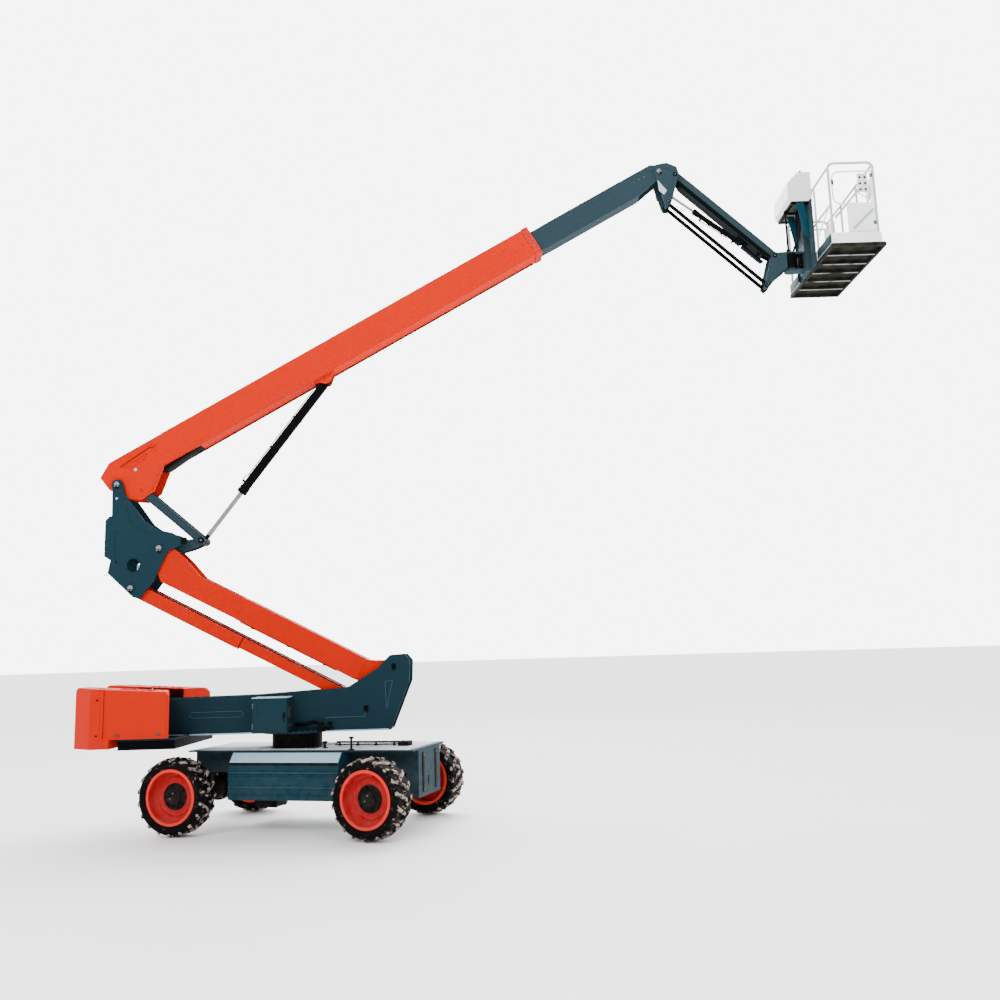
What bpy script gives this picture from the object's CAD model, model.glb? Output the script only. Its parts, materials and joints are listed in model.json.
# %% [markdown]
# # An articulating boom lift, dressed for its portrait
#
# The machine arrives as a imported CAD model: chassis, turntable, riser, telescopic boom, jib and
# platform, each at its real size and each on the body that moves it.  This lesson never moves or
# resizes those parts.  It gives every surface a finish and adds what is too small for the CAD
# model: chunky tyres, bolts, welds, pin keepers, louvres, gratings, latches and hoses.
#
# Everything is in metres in the CAD model's own frame: +X runs along the boom to the platform,
# +Y to the machine's left, +Z up, and the ground is at z = 0.

# %% Load the machine
import json
import math
import bmesh
import bpy
from mathutils import Matrix, Vector


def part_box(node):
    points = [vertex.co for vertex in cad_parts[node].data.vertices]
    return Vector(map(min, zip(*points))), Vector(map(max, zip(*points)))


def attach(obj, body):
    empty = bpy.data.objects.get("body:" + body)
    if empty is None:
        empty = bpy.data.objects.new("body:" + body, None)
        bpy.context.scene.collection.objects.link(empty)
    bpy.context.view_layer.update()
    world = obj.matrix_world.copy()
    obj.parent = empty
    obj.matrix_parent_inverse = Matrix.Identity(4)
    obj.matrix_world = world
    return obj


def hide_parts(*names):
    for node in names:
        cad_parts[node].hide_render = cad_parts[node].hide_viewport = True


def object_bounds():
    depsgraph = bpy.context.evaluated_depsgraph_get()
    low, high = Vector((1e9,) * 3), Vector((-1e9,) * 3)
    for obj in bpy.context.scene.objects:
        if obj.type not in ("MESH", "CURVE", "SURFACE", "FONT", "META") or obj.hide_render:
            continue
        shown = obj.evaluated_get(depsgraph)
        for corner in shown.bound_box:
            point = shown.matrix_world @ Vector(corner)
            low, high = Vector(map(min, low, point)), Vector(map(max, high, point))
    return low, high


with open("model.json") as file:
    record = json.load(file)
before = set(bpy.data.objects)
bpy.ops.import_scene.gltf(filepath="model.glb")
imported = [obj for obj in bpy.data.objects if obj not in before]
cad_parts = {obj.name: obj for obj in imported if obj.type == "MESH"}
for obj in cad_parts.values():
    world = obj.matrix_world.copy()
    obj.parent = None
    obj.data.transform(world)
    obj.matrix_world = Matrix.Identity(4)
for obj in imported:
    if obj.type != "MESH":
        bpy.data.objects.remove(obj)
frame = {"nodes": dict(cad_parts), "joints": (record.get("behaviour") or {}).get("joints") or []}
cad_low, cad_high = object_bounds()
nodes = frame["nodes"]
print("loaded", len(nodes), "CAD nodes; size", [round(v, 3) for v in cad_high - cad_low])

# %% [markdown]
# The booms lie at slants, so details are drawn in a frame that lies along each boom.  The joints
# say where those frames are: a boom turns about its lift joint, and the fly part slides along
# the main boom.  One small function turns a point and a direction into a matrix whose X axis
# runs along the piece and whose Y axis points to the machine's left.

# %% Frames that lie along the pieces
joints = {joint["name"]: joint for joint in frame["joints"]}


def spot(name):
    return Vector(joints[name]["pos_m"])


def aim(name):
    return Vector(joints[name]["axis"])


def laid(origin, forward):
    """A frame at origin: X along forward, Z as near to up as it can be."""
    x = Vector(forward).normalized()
    y = Vector((0, 0, 1)).cross(x).normalized()
    z = x.cross(y)
    return Matrix.Translation(origin) @ Matrix((x, y, z)).transposed().to_4x4()


LEVEL = Vector((1, 0, 0))
BOOM = laid(spot("boom_lift"), aim("fly_extend"))
FLY = laid(spot("nose_level"), aim("fly_extend"))
RISER = laid(spot("upright_level"), spot("riser_lift") - spot("upright_level"))
LINK_TOP = spot("upright_level") + spot("tension_link_swing") - spot("riser_lift")
LINK = laid(LINK_TOP, spot("riser_lift") - spot("upright_level"))
UPRIGHT = laid(spot("upright_level"), LEVEL)
JIB = laid(spot("jib_lift"), spot("jib_head_level") - spot("jib_lift"))
NOSE = laid(spot("nose_level"), LEVEL)
HEAD = laid(spot("jib_head_level"), LEVEL)
CYLINDER = laid(spot("boom_barrel_swing"), aim("boom_rod_slide"))
JIB_CYLINDER = laid(spot("jib_barrel_swing"), aim("jib_rod_slide"))

front = (spot("steer_right") + spot("steer_left")) / 2
rear = (spot("spin_rear_right") + spot("spin_rear_left")) / 2
axle_height = front.z
CHASSIS = laid(Vector((0, 0, 0)), front - rear)
half_base = (front - rear).length / 2
slant = math.degrees(math.asin(aim("fly_extend").z))
print("wheel base", round(2 * half_base, 3), "m; boom slant", round(slant, 2), "degrees")

# %% [markdown]
# ## Finishes
#
# A finish is a small sum: paint plus dust plus wear.  Blender's shader nodes can do sums, but a
# graph of Math nodes is hard to read, so one class wraps a socket and lets Python's own operators
# add the nodes.  `1 - dust * 0.5` then reads as what it does.

# %% Sockets that add up like numbers
class Wire:
    """One output socket of a material, with arithmetic."""

    def __init__(self, tree, socket):
        self.tree, self.socket = tree, socket

    def sum(self, operation, first, second=None, clamp=False):
        node = self.tree.nodes.new("ShaderNodeMath")
        node.operation = operation
        node.use_clamp = clamp
        for number, value in enumerate((first, second)):
            if isinstance(value, Wire):
                self.tree.links.new(value.socket, node.inputs[number])
            elif value is not None:
                node.inputs[number].default_value = value
        return Wire(self.tree, node.outputs[0])

    def __add__(self, other):
        return self.sum("ADD", self, other)

    __radd__ = __add__

    def __sub__(self, other):
        return self.sum("SUBTRACT", self, other)

    def __rsub__(self, other):
        return self.sum("SUBTRACT", other, self)

    def __mul__(self, other):
        return self.sum("MULTIPLY", self, other)

    __rmul__ = __mul__

    def __pow__(self, other):
        return self.sum("POWER", self, other)

    def over(self, limit, softness=0.05):
        """0 below a limit, 1 above it, with a soft step."""
        return self.sum("MULTIPLY", self - (limit - softness / 2), 1 / softness, clamp=True)

    def held(self):
        """The same value, kept between 0 and 1."""
        return self.sum("MULTIPLY", self, 1.0, clamp=True)


class Finish:
    """A material under construction: its nodes, and the shader that they feed."""

    def __init__(self, name, **fixed):
        self.material = bpy.data.materials.new(name)
        self.material.use_nodes = True
        self.tree = self.material.node_tree
        self.shader = self.tree.nodes["Principled BSDF"]
        for socket, value in fixed.items():
            self.shader.inputs[socket.replace("_", " ")].default_value = value

    def add(self, kind, settings=None, sockets=None, out=0):
        node = self.tree.nodes.new("ShaderNode" + kind)
        for name, value in (settings or {}).items():
            setattr(node, name, value)
        for name, value in (sockets or {}).items():
            if isinstance(value, Wire):
                self.tree.links.new(value.socket, node.inputs[name])
            else:
                node.inputs[name].default_value = value
        return Wire(self.tree, node.outputs[out])

    def place(self):
        return self.add("TexCoord", out="Object")

    def noise(self, scale, detail=3.0, roughness=0.55, where=None):
        sockets = {"Vector": where or self.place(), "Scale": scale, "Detail": detail,
                   "Roughness": roughness}
        return self.add("TexNoise", None, sockets, out=0)

    def stretched(self, x, y, z):
        return self.add("Mapping", None, {"Vector": self.place(), "Scale": (x, y, z)})

    def part(self, vector, letter):
        return self.add("SeparateXYZ", None, {"Vector": vector}, out="XYZ".index(letter))

    def facing(self, letter="Z"):
        return self.part(self.add("NewGeometry", out="Normal"), letter)

    def mix(self, share, first, second):
        node = self.tree.nodes.new("ShaderNodeMix")
        node.data_type = "RGBA"
        for socket, value in ((node.inputs[0], share), (node.inputs[6], first),
                              (node.inputs[7], second)):
            if isinstance(value, Wire):
                self.tree.links.new(value.socket, socket)
            else:
                socket.default_value = value if isinstance(value, float) else (*value, 1.0)
        return Wire(self.tree, node.outputs[2])

    def feed(self, **wires):
        for name, wire in wires.items():
            self.tree.links.new(wire.socket, self.shader.inputs[name.replace("_", " ")])

    def bump(self, height, distance, strength=0.6):
        sockets = {"Height": height, "Distance": distance, "Strength": strength}
        self.feed(Normal=self.add("Bump", None, sockets))


# %% [markdown]
# Machine paint is thick and slightly wavy, like the skin of an orange.  Outdoors it fades a
# little in broad clouds, gathers dust on what faces up, and picks up grime low down, near the
# wheels.  All of that comes from noise in the frame's own metres, so one finish fits a bolt as
# well as a boom.

# %% Machine paint
DUST = (0.40, 0.33, 0.28)
LOW_DIRT_TOP = 1.6
# A low index keeps dark paint from mirroring the bright sky at grazing angles.
FLAT_IOR = 1.09
BLACK = (0.0015, 0.0015, 0.002)


def paint(name, colour, deep, gloss=0.34, dust=0.25, grime=0.5):
    """Sprayed enamel: broad fading, orange peel, dust on top faces and grime near the ground."""
    finish = Finish(name, IOR=FLAT_IOR, Coat_Weight=0.02, Coat_Roughness=0.3, Coat_IOR=FLAT_IOR)
    clouds = finish.noise(0.8, 4.0).over(0.5, 0.5)
    patches = finish.noise(9.0, 6.0, 0.65)
    upward = finish.facing("Z").held()
    low = (1 - finish.part(finish.place(), "Z") * (1 / LOW_DIRT_TOP)).held()
    settled = (upward ** 2.0) * patches.over(0.42, 0.4) * dust
    splashed = low * patches.over(0.46, 0.3) * grime * 0.55
    dirt = (settled + splashed).held()
    streaks = finish.noise(1.0, 3.0, 0.6, finish.stretched(30.0, 30.0, 1.6)).over(0.62, 0.12) * 0.14
    colour_now = finish.mix(clouds * 0.5 + streaks, colour, deep)
    colour_now = finish.mix(dirt, colour_now, DUST)
    finish.feed(Base_Color=colour_now)
    finish.feed(Roughness=(gloss + patches * 0.12 + dirt * 0.45).held())
    peel = finish.noise(260.0, 2.0)
    dents = finish.noise(3.2, 2.0)
    finish.bump(peel * 0.0006 + dents * 0.004, 1.0, 0.5)
    return finish.material


boom_paint = paint("boom orange paint", (0.53, 0.012, 0.0), (0.46, 0.009, 0.0), 0.50, 0.04, 0.12)
riser_paint = paint("riser red-orange paint", (0.47, 0.010, 0.0), (0.41, 0.008, 0.0), 0.50, 0.04,
                    0.12)
weight_paint = paint("ballast red-orange paint", (0.51, 0.010, 0.0), (0.45, 0.008, 0.0), 0.52, 0.04,
                     0.12)
teal_paint = paint("turntable dark teal paint", (0.009, 0.028, 0.038), (0.007, 0.022, 0.031), 0.50,
                   0.04, 0.15)
cover_paint = paint("cover teal paint", (0.005, 0.034, 0.049), (0.004, 0.029, 0.042), 0.48, 0.03,
                    0.10)
pale_paint = paint("pale blue top paint", (0.30, 0.47, 0.58), (0.24, 0.39, 0.50), 0.46, 0.12, 0.15)
edge_paint = paint("cover edge paint", (0.030, 0.080, 0.100), (0.024, 0.066, 0.085), 0.48, 0.03,
                   0.10)
deck_paint = paint("pale grey deck paint", (0.52, 0.58, 0.60), (0.40, 0.46, 0.48), 0.46, 0.25, 0.2)
slate_paint = paint("boom slate blue paint", (0.020, 0.038, 0.047), (0.015, 0.030, 0.038), 0.50,
                    0.04, 0.15)
rim_paint = paint("rim orange-red paint", (0.70, 0.026, 0.015), (0.62, 0.020, 0.012), 0.48, 0.04,
                  0.15)
dish_paint = paint("rim crimson dish paint", (0.40, 0.006, 0.009), (0.31, 0.004, 0.007), 0.50, 0.04,
                   0.15)
rail_paint = paint("platform rail paint", (0.46, 0.49, 0.50), (0.38, 0.41, 0.42), 0.42, 0.08)
white_paint = paint("platform white paint", (0.90, 0.91, 0.90), (0.84, 0.86, 0.86), 0.38, 0.08)
link_grey = paint("pale grey bracket paint", (0.42, 0.47, 0.49), (0.32, 0.36, 0.38), 0.40, 0.15)
enamel = paint("satin black enamel", BLACK, (0.004, 0.004, 0.004), 0.55, 0.05, 0.12)
print("made", len(bpy.data.materials), "finishes so far")

# %% [markdown]
# Bare metals and rubber need their own looks.  A hydraulic rod is hard chrome with fine rings
# left by grinding.  Bolts are zinc plated, so they are grey, patchy and only half shiny.  Tyre
# rubber is almost black, but on a machine that has driven over a yard the faces of its lugs are
# tan with dried dust.

# %% Metals, rubber and plastic
CHROME_METALLIC, CHROME_IOR = 0.2, 1.12
CHROME_LIGHT, CHROME_DARK = (0.24, 0.24, 0.23), (0.17, 0.17, 0.17)


def chrome():
    finish = Finish("hard chrome rod", Metallic=CHROME_METALLIC, IOR=CHROME_IOR)
    smears = finish.noise(6.0, 5.0, 0.6)
    rings = finish.noise(1.0, 2.0, 0.5, finish.stretched(240.0, 12.0, 240.0))
    finish.feed(Base_Color=finish.mix(smears.over(0.5, 0.4), CHROME_LIGHT, CHROME_DARK))
    finish.feed(Roughness=(smears * 0.22 + rings * 0.1 + 0.28).held())
    finish.bump(rings, 0.0002, 0.3)
    return finish.material


def zinc():
    finish = Finish("zinc plated steel", Metallic=0.6, IOR=1.3)
    spangle = finish.add("TexVoronoi", None, {"Vector": finish.place(), "Scale": 90.0})
    patches = finish.noise(22.0, 4.0)
    finish.feed(Base_Color=finish.mix(patches.over(0.5, 0.4), (0.14, 0.14, 0.13),
                                      (0.07, 0.07, 0.07)))
    finish.feed(Roughness=(patches * 0.3 + spangle * 0.15 + 0.28).held())
    finish.bump(spangle, 0.0003, 0.4)
    return finish.material


def rubber(name, dusty):
    """Nearly black rubber; dusty is the share of it that wears a pale crust of dried mud."""
    finish = Finish(name, IOR=1.15)
    clumps = finish.noise(15.0, 5.0, 0.62)
    grain = finish.noise(190.0, 3.0)
    crust = (clumps.over(0.68 - dusty * 0.20, 0.10) * (0.25 + dusty * 0.75)).held()
    finish.feed(Base_Color=finish.mix(crust, (0.002, 0.002, 0.002), (0.40, 0.31, 0.27)))
    finish.feed(Roughness=(crust * 0.2 + grain * 0.12 + 0.66).held())
    finish.bump(clumps * 0.6 + grain * 0.4, 0.0015, 0.6)
    return finish.material


def plastic(name, colour, deep, rough=0.5):
    finish = Finish(name, Specular_IOR_Level=0.45)
    grain = finish.noise(420.0, 2.0)
    clouds = finish.noise(3.0, 4.0)
    finish.feed(Base_Color=finish.mix(clouds.over(0.5, 0.5), colour, deep))
    finish.feed(Roughness=(clouds * 0.15 + grain * 0.08 + rough - 0.1).held())
    finish.bump(grain, 0.0004, 0.5)
    return finish.material


chrome_rod = chrome()
zinc_steel = zinc()
tyre_rubber = rubber("tyre rubber", 0.15)
lug_rubber = rubber("dusty tyre lugs", 0.85)
hose_rubber = rubber("hose rubber", 0.0)
black_plastic = plastic("black moulded plastic", (0.016, 0.017, 0.018), (0.026, 0.027, 0.028), 0.5)
white_plastic = plastic("white moulded plastic", (0.74, 0.75, 0.72), (0.64, 0.66, 0.63), 0.42)
red_plastic = plastic("red stop button", (0.62, 0.02, 0.015), (0.50, 0.015, 0.012), 0.35)
wear_pad = plastic("nylon wear pad", (0.055, 0.055, 0.05), (0.075, 0.075, 0.07), 0.55)
print("made", len(bpy.data.materials), "finishes so far")

# %% [markdown]
# Four CAD pieces carry two colours each: the platform's floor, the turntable, the boom's rod and
# the jib.  Their finishes ask where a point lies, by its height, its distance from the middle of
# an eye or its height above a slanted line, and mix the two colours by the answer.

# %% Finishes that change with the place
FLOOR_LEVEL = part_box("platform_floor")[0].z
BEARER_LOW, BEARER_HIGH, FLOOR_RIM = FLOOR_LEVEL + 0.003, FLOOR_LEVEL + 0.010, FLOOR_LEVEL + 0.056
TRAY_TOP = 1.298
EYE_INSET, EYE_RADIUS = 0.07, 0.115


def platform_floor_paint():
    """White boards above; below them a dark sooty underside crossed by pale bearers."""
    finish = Finish("platform floor paint", IOR=FLAT_IOR)
    height = finish.part(finish.place(), "Z")
    downward = (finish.facing("Z") * -1.0).over(0.5, 0.2)
    worn = finish.noise(2.6, 2.0).over(0.46, 0.12)
    bearer = height.over(BEARER_LOW, 0.002) * (1 - height.over(BEARER_HIGH, 0.002)) * worn
    rim = 1 - height.over(FLOOR_RIM, 0.004)
    dark = (downward * (1 - bearer * 0.20) + (1 - downward) * rim).held()
    stains = finish.noise(7.0, 5.0, 0.6)
    white = finish.mix(stains.over(0.55, 0.3) * 0.6, (0.90, 0.91, 0.90), (0.80, 0.83, 0.83))
    soot = finish.mix(stains.over(0.5, 0.3), (0.004, 0.005, 0.004), (0.020, 0.020, 0.014))
    finish.feed(Base_Color=finish.mix(dark, white, soot))
    finish.feed(Roughness=(dark * 0.2 + stains * 0.15 + 0.36).held())
    finish.bump(stains * 0.6 + finish.noise(220.0, 2.0) * 0.1, 0.001, 0.5)
    return finish.material


def turntable_paint():
    """Dark teal plates on a black tray: the tray is whatever lies below the plates' flange."""
    finish = Finish("turntable frame paint", IOR=FLAT_IOR)
    tray = 1 - finish.part(finish.place(), "Z").over(TRAY_TOP, 0.004)
    clouds = finish.noise(1.2, 4.0).over(0.5, 0.5)
    grain = finish.noise(240.0, 2.0)
    plate = finish.mix(clouds, (0.009, 0.026, 0.036), (0.007, 0.021, 0.030))
    finish.feed(Base_Color=finish.mix(tray, plate, BLACK))
    finish.feed(Roughness=(clouds * 0.08 + tray * 0.08 + 0.46).held())
    finish.bump(grain * 0.0006 + clouds * 0.002, 1.0, 0.5)
    return finish.material


def rod_with_eye():
    """The boom rod: hard chrome, with a black forged eye round the pin at its lower end."""
    finish = Finish("boom rod and eye", Metallic=CHROME_METALLIC, IOR=CHROME_IOR)
    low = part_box("boom_cylinder_rod")[0]
    centre = (low.x + EYE_INSET, 0.0, low.z + EYE_INSET)
    away = finish.add("VectorMath", {"operation": "DISTANCE"}, {0: finish.place(), 1: centre},
                      out=1)
    smears = finish.noise(6.0, 5.0, 0.6)
    steel = finish.mix(smears.over(0.5, 0.4), CHROME_LIGHT, CHROME_DARK)
    eye = 1 - away.over(EYE_RADIUS, 0.006)
    finish.feed(Base_Color=finish.mix(eye, steel, (0.004, 0.004, 0.005)))
    finish.feed(Roughness=(smears * 0.22 + eye * 0.2 + 0.30).held())
    finish.bump(smears, 0.0002, 0.3)
    return finish.material


def jib_finish():
    """Slate blue above the line through the jib's pivots, and almost black below it."""
    finish = Finish("jib slate and black paint", IOR=FLAT_IOR)
    along = (spot("jib_head_level") - spot("jib_lift")).normalized()
    upwards = Vector((-along.z, 0.0, along.x))
    rise = finish.add("VectorMath", {"operation": "DOT_PRODUCT"},
                      {0: finish.place(), 1: tuple(upwards)}, out=1)
    under = 1 - rise.over(spot("jib_lift").dot(upwards), 0.008)
    clouds = finish.noise(1.2, 4.0).over(0.5, 0.5)
    slate = finish.mix(clouds, (0.022, 0.038, 0.045), (0.017, 0.031, 0.037))
    finish.feed(Base_Color=finish.mix(under, slate, (0.0016, 0.0026, 0.003)))
    finish.feed(Roughness=(clouds * 0.08 + 0.48).held())
    finish.bump(finish.noise(240.0, 2.0) * 0.0006 + clouds * 0.002, 1.0, 0.5)
    return finish.material


floor_paint = platform_floor_paint()
frame_paint = turntable_paint()
eye_rod = rod_with_eye()
jib_paint = jib_finish()
print("made", len(bpy.data.materials), "finishes in all")

# %% [markdown]
# ## A small kit for making pieces
#
# Plates, rods, bolts and tubes are enough for most of a machine.  Each call adds a form to one
# mesh, in the frame that the piece was given, and bevels its edges: real steel never has a
# perfectly sharp edge, and the thin bright line along a bevel is much of what makes it look
# solid.  `done` turns the mesh into an object that rides on a body.

# %% Plates, rods, bolts and tubes
made = []


class Build:
    """Collects forms in a frame, then becomes one object on one body."""

    def __init__(self, name, body, finish, where=None):
        self.name, self.body, self.finishes = name, body, [finish]
        self.where = where or Matrix.Identity(4)
        self.mesh = bmesh.new()
        self.finish = 0

    def using(self, finish):
        """Gives a finish to the forms that follow."""
        if finish not in self.finishes:
            self.finishes.append(finish)
        self.finish = self.finishes.index(finish)
        return self

    def settle(self, faces, bevel, edges=None):
        """Bevels the new form's edges and gives its faces the finish in use."""
        for face in faces:
            face.material_index = self.finish
        if bevel:
            picked = edges or list({edge for face in faces for edge in face.edges})
            cut = bmesh.ops.bevel(self.mesh, geom=picked, offset=bevel, segments=2,
                                  profile=0.5, affect="EDGES", clamp_overlap=True)
            for face in cut["faces"]:
                face.material_index = self.finish

    def loft(self, bottom, top, bevel=0.0):
        """A closed solid between two rings of as many points each."""
        bottom = [self.mesh.verts.new(Vector(point)) for point in bottom]
        top = [self.mesh.verts.new(Vector(point)) for point in top]
        faces = [self.mesh.faces.new(list(reversed(bottom))), self.mesh.faces.new(top)]
        count = len(bottom)
        for here in range(count):
            after = (here + 1) % count
            faces.append(self.mesh.faces.new((bottom[here], bottom[after], top[after], top[here])))
        bmesh.ops.recalc_face_normals(self.mesh, faces=faces)
        self.settle(faces, bevel)
        return self

    def prism(self, ring, lift, bevel=0.0):
        """A solid between a ring of points and the same ring moved by lift."""
        return self.loft(ring, [Vector(point) + Vector(lift) for point in ring], bevel)

    def bar(self, lower, upper, bevel=0.0):
        """A solid bar through stations: each has two lower points and the two above them."""
        lower = [self.mesh.verts.new(point) for point in lower]
        upper = [self.mesh.verts.new(point) for point in upper]
        rings = [(lower[k], lower[k + 1], upper[k + 1], upper[k]) for k in range(0, len(lower), 2)]
        faces = [self.mesh.faces.new(rings[0]), self.mesh.faces.new(list(reversed(rings[-1])))]
        for first, second in zip(rings, rings[1:]):
            for here in range(4):
                after = (here + 1) % 4
                faces.append(self.mesh.faces.new((first[after], first[here], second[here],
                                                  second[after])))
        bmesh.ops.recalc_face_normals(self.mesh, faces=faces)
        self.settle(faces, bevel)
        return self

    def box(self, low, high, bevel=0.003):
        ring = [(low[0], low[1], low[2]), (high[0], low[1], low[2]),
                (high[0], high[1], low[2]), (low[0], high[1], low[2])]
        return self.prism(ring, (0, 0, high[2] - low[2]), bevel)

    def flank(self, side, low, high, bevel=0.003):
        """A box on one side of the middle plane: its y counts outwards."""
        near, far = sorted((side * low[1], side * high[1]))
        return self.box((low[0], near, low[2]), (high[0], far, high[2]), bevel)

    def stud(self, side, x, z, inner, outer, radius, sides=20, bevel=0.0):
        """A round boss on one side face, from inner to outer as counted outwards."""
        return self.rod((x, side * inner, z), (x, side * outer, z), radius, sides, bevel)

    def plate(self, outline, inner, outer, bevel=0.003):
        """A plate cut in the side view: outline holds (x, z), and it spans inner to outer in y."""
        return self.prism([(x, inner, z) for x, z in outline], (0, outer - inner, 0), bevel)

    def rod(self, start, end, radius, sides=20, bevel=0.0):
        """A round bar between two points."""
        start, end = Vector(start), Vector(end)
        along = (end - start).normalized()
        across = along.orthogonal().normalized()
        other = along.cross(across)
        rings = []
        for centre in (start, end):
            turns = [2 * math.pi * step / sides for step in range(sides)]
            rings.append([self.mesh.verts.new(
                centre + radius * (across * math.cos(a) + other * math.sin(a)))
                          for a in turns])
        caps = [self.mesh.faces.new(list(reversed(rings[0]))), self.mesh.faces.new(rings[1])]
        walls = []
        for here in range(sides):
            after = (here + 1) % sides
            walls.append(self.mesh.faces.new((rings[0][here], rings[0][after], rings[1][after],
                                              rings[1][here])))
        for face in walls + caps:
            face.material_index = self.finish
        if bevel:
            edges = list({edge for cap in caps for edge in cap.edges})
            self.settle(caps, bevel, edges)
        return self

    def bolt(self, at, along, size=0.02, washer=True):
        """A hexagon head on its washer, standing on a face whose outward direction is along."""
        at, along = Vector(at), Vector(along).normalized()
        if washer:
            self.rod(at, at + along * size * 0.14, size * 0.72, 20, size * 0.04)
        self.rod(at + along * size * 0.12, at + along * size * 0.62, size * 0.5, 6, size * 0.05)
        return self

    def lathe(self, outline, sides=64, axis="y", at=(0, 0, 0)):
        """Turns (radius, distance) points round an axis through a point of the frame."""
        at = Vector(at)
        columns = []
        for step in range(sides):
            angle = 2 * math.pi * step / sides
            c, s = math.cos(angle), math.sin(angle)
            turned = {"x": lambda r, d: (d, r * c, r * s), "y": lambda r, d: (r * c, d, r * s),
                      "z": lambda r, d: (r * c, r * s, d)}[axis]
            columns.append([self.mesh.verts.new(at + Vector(turned(r, d))) for r, d in outline])
        faces = []
        for step in range(sides):
            first, second = columns[step], columns[(step + 1) % sides]
            for here in range(len(outline) - 1):
                faces.append(self.mesh.faces.new((first[here], first[here + 1], second[here + 1],
                                                  second[here])))
        for end in (0, -1):
            if outline[end][0] > 1e-6:
                continue
            bmesh.ops.remove_doubles(self.mesh, verts=[column[end] for column in columns],
                                     dist=1e-6)
        faces = [face for face in faces if face.is_valid]
        for face in faces:
            face.material_index = self.finish
        bmesh.ops.recalc_face_normals(self.mesh, faces=faces)
        return self

    def tube(self, points, radius, bend=0.0, sides=12):
        """A round tube along straight runs, with each corner bent to a radius."""
        points = [Vector(point) for point in points]
        path = [points[0]]
        for before, corner, after in zip(points, points[1:], points[2:]):
            into, out = (corner - before).normalized(), (after - corner).normalized()
            turn = into.angle(out)
            if turn < 1e-3:
                continue
            cut = min(bend * math.tan(turn / 2), (corner - before).length * 0.49,
                      (after - corner).length * 0.49)
            for step in range(7):
                t = step / 6
                path.append((corner - into * cut) * (1 - t) ** 2 + corner * 2 * t * (1 - t)
                            + (corner + out * cut) * t ** 2)
        path.append(points[-1])
        along = (path[1] - path[0]).normalized()
        across = along.orthogonal().normalized()
        rings = []
        for here, point in enumerate(path):
            ahead = path[min(here + 1, len(path) - 1)] - path[max(here - 1, 0)]
            ahead.normalize()
            across = (across - ahead * across.dot(ahead)).normalized()
            other = ahead.cross(across)
            rings.append([self.mesh.verts.new(
                point + radius * (across * math.cos(2 * math.pi * k / sides)
                                    + other * math.sin(2 * math.pi * k / sides)))
                          for k in range(sides)])
        faces = [self.mesh.faces.new(list(reversed(rings[0]))), self.mesh.faces.new(rings[-1])]
        for first, second in zip(rings, rings[1:]):
            for k in range(sides):
                after = (k + 1) % sides
                faces.append(self.mesh.faces.new((first[k], first[after], second[after],
                                                  second[k])))
        for face in faces:
            face.material_index = self.finish
        bmesh.ops.recalc_face_normals(self.mesh, faces=faces)
        return self

    def done(self, *replaced, smooth=35):
        data = bpy.data.meshes.new(self.name)
        self.mesh.transform(self.where)
        self.mesh.to_mesh(data)
        self.mesh.free()
        for finish in self.finishes:
            data.materials.append(finish)
        data.shade_smooth()
        data.set_sharp_from_angle(angle=math.radians(smooth))
        piece = bpy.data.objects.new(self.name, data)
        bpy.context.scene.collection.objects.link(piece)
        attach(piece, self.body)
        if replaced:
            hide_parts(*replaced)
        made.append(piece)
        print(self.name, "has", len(data.polygons), "faces")
        return piece


def around(count, radius, start=0.0):
    """Pairs of coordinates spaced evenly round a circle."""
    turns = [math.radians(start + number * 360 / count) for number in range(count)]
    return [(radius * math.cos(turn), radius * math.sin(turn)) for turn in turns]


# %% [markdown]
# ## Paint the CAD model
#
# First every CAD node gets its finish, so that nothing is left plain.

# %% One finish for each CAD node
dressing = {
    boom_paint: ["main_boom"],
    riser_paint: ["riser", "tension_link"],
    weight_paint: ["counterweight", "hood_right", "hood_left"],
    frame_paint: ["turntable_frame"],
    teal_paint: ["control_box", "upright", "chassis_frame"],
    cover_paint: ["side_cover_right", "side_cover_left"],
    slate_paint: ["fly_boom", "jib_head", "nose_bracket", "platform_mast",
                  "toggle_lever", "toggle_strut"],
    jib_paint: ["jib"],
    rail_paint: ["platform_rails"],
    white_paint: ["gate"],
    floor_paint: ["platform_floor"],
    rim_paint: [name for name in nodes if name.startswith("rim_")],
    enamel: ["front_axle", "rear_axle", "knuckle_right", "knuckle_left", "drive_gearbox",
             "slew_ring",
             "engine_block", "tank_block", "riser_cylinder_barrel", "boom_cylinder_barrel",
             "jib_cylinder_barrel", "jib_link"],
    chrome_rod: ["riser_cylinder_rod", "jib_cylinder_rod"],
    eye_rod: ["boom_cylinder_rod"],
    tyre_rubber: [name for name in nodes if name.startswith("tyre_")],
    white_plastic: ["console"],
}
for finish, names in dressing.items():
    for name in names:
        if name in nodes:
            nodes[name].data.materials.clear()
            nodes[name].data.materials.append(finish)
bare = sorted(set(nodes) - {name for names in dressing.values() for name in names})
print("CAD nodes left bare:", bare)

# %% [markdown]
# ## Wheels
#
# The tyres are the busiest part of the machine.  A carcass is turned from its real section, with
# a rim guard and fine rings on the sidewall.  Thirty-six lugs go round it in two staggered rows,
# each a tapered bar that leans and wraps over the shoulder.  The rim has a bright flange, a
# darker dish, a ring of nuts and a black planetary hub.

# %% Tyres
TYRE_RADIUS = 0.525
TREAD_RADIUS = 0.495
LUGS = 36
corners = [name.removeprefix("tyre_") for name in nodes if name.startswith("tyre_")]


def wheel_place(corner):
    """A wheel's frame: its own -Y axis points outwards."""
    outward = aim("spin_" + corner) * (-1 if corner.endswith("right") else 1)
    y, z = -outward, Vector((0, 0, 1))
    return Matrix.Translation(spot("spin_" + corner)) @ Matrix((y.cross(z), y,
                                                                z)).transposed().to_4x4()


def polar(radius, degrees, y):
    angle = math.radians(degrees)
    return Vector((radius * math.cos(angle), y, radius * math.sin(angle)))


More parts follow.
